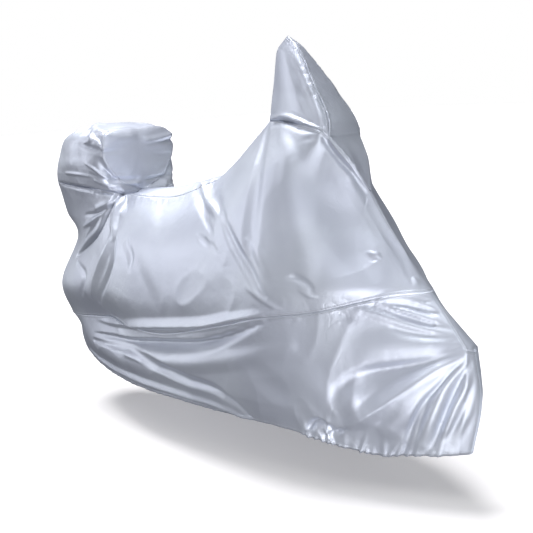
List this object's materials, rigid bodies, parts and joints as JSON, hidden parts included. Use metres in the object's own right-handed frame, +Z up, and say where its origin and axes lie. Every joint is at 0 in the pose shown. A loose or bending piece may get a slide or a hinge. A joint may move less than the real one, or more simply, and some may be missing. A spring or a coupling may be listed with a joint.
{
  "type": "scooter cover",
  "caption": "Fitted silver fabric cover for a motor scooter, hollow and open below, with a tall windscreen fin, a top-case pocket and a gathered front skirt.",
  "frame": {"origin": "the point under the top of the saddle, on the underside of the seat strip in the middle plane, where the covered vehicle's seat holds the cover up", "axes": "+X forward to the nose, +Y to the vehicle's left, +Z up; the middle plane is Y = 0"},
  "size_m": [2.1149, 0.6261, 1.2976],
  "materials": {
    "silver_cloth": "thin woven polyester with a satin silver coating, creased, with puckered seams"
  },
  "bodies": {
    "root": {"side_right": "silver_cloth", "side_left": "silver_cloth", "skirt_right": "silver_cloth", "skirt_left": "silver_cloth", "seat_strip": "silver_cloth", "box_wrap": "silver_cloth", "box_front": "silver_cloth", "fin_side_right": "silver_cloth", "fin_side_left": "silver_cloth", "screen_front": "silver_cloth", "nose_gusset": "silver_cloth"}
  },
  "joints": []
}
